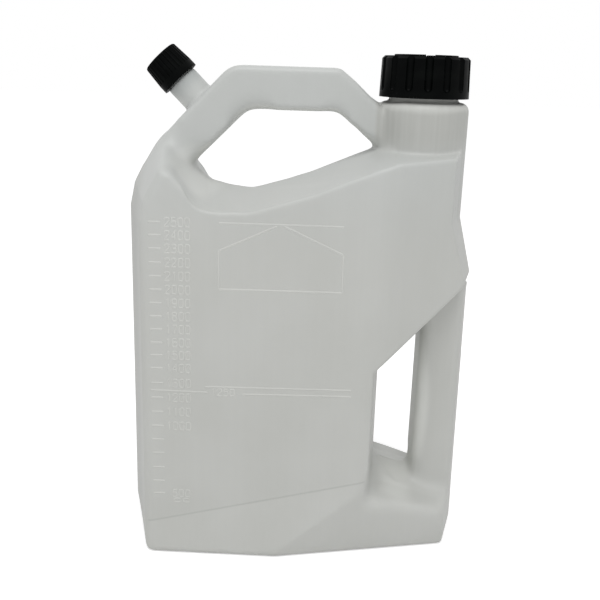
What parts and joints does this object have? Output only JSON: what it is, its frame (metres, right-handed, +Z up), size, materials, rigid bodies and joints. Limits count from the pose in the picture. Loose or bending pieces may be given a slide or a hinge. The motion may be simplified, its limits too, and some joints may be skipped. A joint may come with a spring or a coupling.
{
  "type": "fuel mixing bottle",
  "caption": "Blow-moulded milky fuel mixing bottle with a hollow top handle, a side grip, raised volume marks, and black screw caps on its filler neck and pouring spout.",
  "frame": {"origin": "on the floor, under the middle of the bottle's overall box", "axes": "+X from the spout end to the filler end, +Y from the marked front to the back, +Z up"},
  "size_m": [0.194, 0.1008, 0.2783],
  "materials": {
    "bottle_plastic": "natural milky polyethylene with a fine satin grain",
    "cap_plastic": "black satin",
    "small_cap_plastic": "black satin",
    "liner_plastic": "white foamed sealing sheet"
  },
  "bodies": {
    "bottle": {"bottle": "bottle_plastic"},
    "filler_liner": {"filler_cap_liner": "liner_plastic"},
    "filler_cap": {"filler_cap": "cap_plastic"},
    "spout_liner": {"spout_cap_liner": "liner_plastic"},
    "spout_cap": {"spout_cap": "small_cap_plastic"}
  },
  "joints": [
    {"name": "filler_cap_lift", "type": "slide", "parent": "bottle", "child": "filler_liner", "axis": [0, 0, 1], "range_m": [0, 0.024]},
    {"name": "filler_cap_turn", "type": "hinge", "parent": "filler_liner", "child": "filler_cap", "pos_m": [0.0634, 0, 0.27278], "axis": [0, 0, 1], "range_deg": [0, 2040]},
    {"name": "spout_cap_lift", "type": "slide", "parent": "bottle", "child": "spout_liner", "axis": [-0.7022, 0, 0.712], "range_m": [0, 0.017]},
    {"name": "spout_cap_turn", "type": "hinge", "parent": "spout_liner", "child": "spout_cap", "pos_m": [-0.07283, 0, 0.26498], "axis": [-0.7022, 0, 0.712], "range_deg": [0, 2040]}
  ],
  "couplings": [
    {"joint": "filler_cap_lift", "follows": "filler_cap_turn", "m_per_rad": 0.0006737},
    {"joint": "spout_cap_lift", "follows": "spout_cap_turn", "m_per_rad": 0.00047746}
  ]
}
